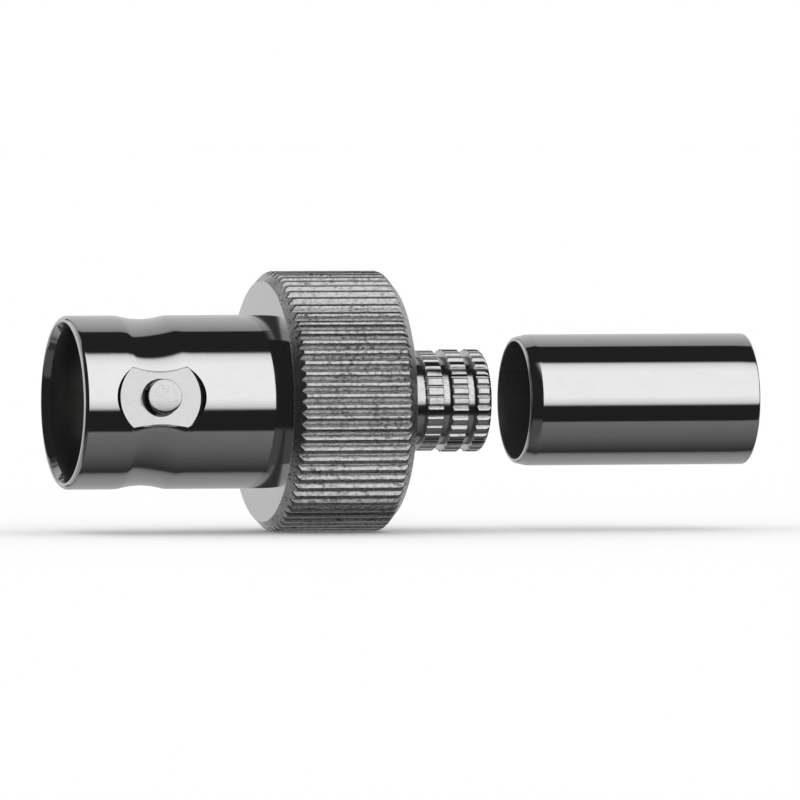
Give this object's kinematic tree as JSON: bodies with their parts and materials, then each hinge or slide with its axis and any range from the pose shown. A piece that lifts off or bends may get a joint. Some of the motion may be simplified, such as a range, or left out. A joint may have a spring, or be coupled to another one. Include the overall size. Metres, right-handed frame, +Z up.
{
  "type": "bnc connector",
  "caption": "Crimp-type coaxial cable jack with a bayonet barrel, a knurled grip ring, a banded braid support and a loose crimp ferrule.",
  "frame": {"origin": "centre of the open mouth, in the plane of its front lip", "axes": "+X along the connector from the mouth to the cable end, +Z up, bayonet lugs on +Y and -Y"},
  "size_m": [0.0393, 0.0144, 0.0144],
  "materials": {
    "nickel_shell": "bright nickel plate, knurl worn and frosted",
    "nickel_support": "bright nickel plate",
    "nickel_ferrule": "bright nickel plate on a drawn tube",
    "white_insulator": "matt white fluoropolymer",
    "gold_contact": "gold plate"
  },
  "bodies": {
    "connector": {"shell": "nickel_shell", "front_insulator": "white_insulator", "rear_insulator": "white_insulator", "socket_contact": "gold_contact", "braid_support": "nickel_support"},
    "ferrule": {"crimp_ferrule": "nickel_ferrule"}
  },
  "joints": [
    {"name": "ferrule_slide", "type": "slide", "parent": "connector", "child": "ferrule", "axis": [1, 0, 0], "range_m": [-0.0074, 0]}
  ]
}
